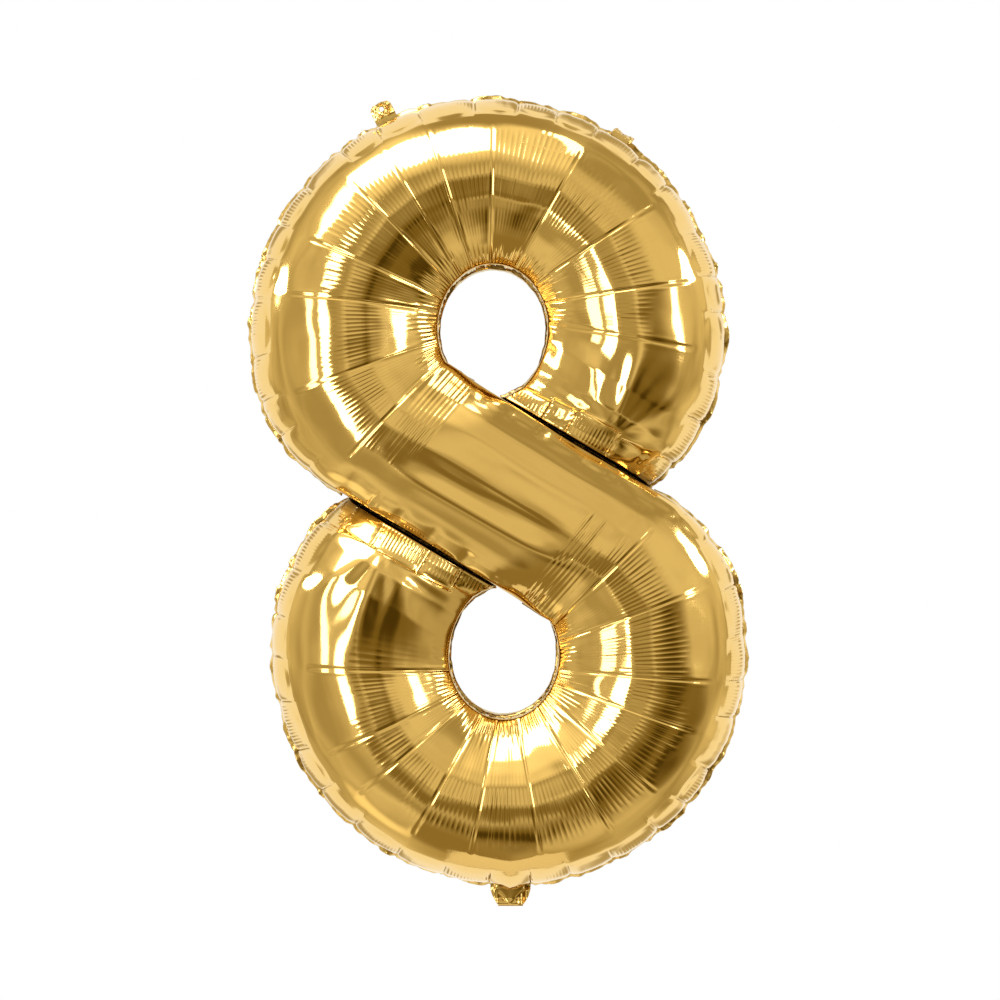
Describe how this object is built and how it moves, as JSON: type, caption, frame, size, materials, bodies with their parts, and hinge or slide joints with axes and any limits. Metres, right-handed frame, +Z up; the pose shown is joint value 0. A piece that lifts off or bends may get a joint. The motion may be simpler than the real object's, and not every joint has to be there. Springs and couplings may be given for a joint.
{
  "type": "foil number balloon",
  "caption": "Inflated gold foil balloon shaped as the digit 8: welded film panels puckered round both holes, an inner filling valve, a folded filling neck and hanging tabs.",
  "frame": {"origin": "centre of the whole object's box, filling neck included", "axes": "+Z up the digit, +X to the digit's right as it is read, and the front faces -Y"},
  "size_m": [0.5366, 0.1732, 0.8628],
  "materials": {
    "gold_film": "polished",
    "welded_margin": "gloss",
    "valve_film": "satin",
    "release_coating": "matte"
  },
  "bodies": {
    "balloon": {"front_panel": "gold_film", "back_panel": "gold_film", "outer_seam": "welded_margin", "upper_hole_seam": "welded_margin", "lower_hole_seam": "welded_margin", "upper_divider_seam": "welded_margin", "lower_divider_seam": "welded_margin", "valve_front_film": "valve_film", "valve_back_film": "valve_film", "valve_side_welds": "valve_film", "valve_release_coating": "release_coating", "valve_front_seal": "welded_margin", "valve_back_seal": "welded_margin"},
    "neck": {"neck_front_film": "gold_film", "neck_back_film": "gold_film", "neck_side_welds": "welded_margin"},
    "flap": {"flap_front_film": "gold_film", "flap_back_film": "gold_film", "flap_side_welds": "welded_margin"},
    "left_tab": {"hang_tab_left": "gold_film"},
    "right_tab": {"hang_tab_right": "gold_film"}
  },
  "joints": [
    {"name": "left_tab_bend", "type": "hinge", "parent": "balloon", "child": "left_tab", "pos_m": [-0.12049, 0, 0.40829], "axis": [0.9063, 0, 0.4226], "range_deg": [-100, 100], "stiffness_Nm_per_rad": 0.0005},
    {"name": "right_tab_bend", "type": "hinge", "parent": "balloon", "child": "right_tab", "pos_m": [0.13272, 0, 0.38836], "axis": [0.829, 0, -0.5592], "range_deg": [-25, 175], "stiffness_Nm_per_rad": 0.0005},
    {"name": "neck_bend", "type": "hinge", "parent": "balloon", "child": "neck", "pos_m": [0.013, 0, -0.41395], "axis": [1, 0, 0], "range_deg": [-70, 10], "stiffness_Nm_per_rad": 0.001},
    {"name": "flap_fold", "type": "hinge", "parent": "neck", "child": "flap", "pos_m": [0.013, 0, -0.43095], "axis": [1, 0, 0], "range_deg": [-160, 5], "stiffness_Nm_per_rad": 0.0005}
  ]
}
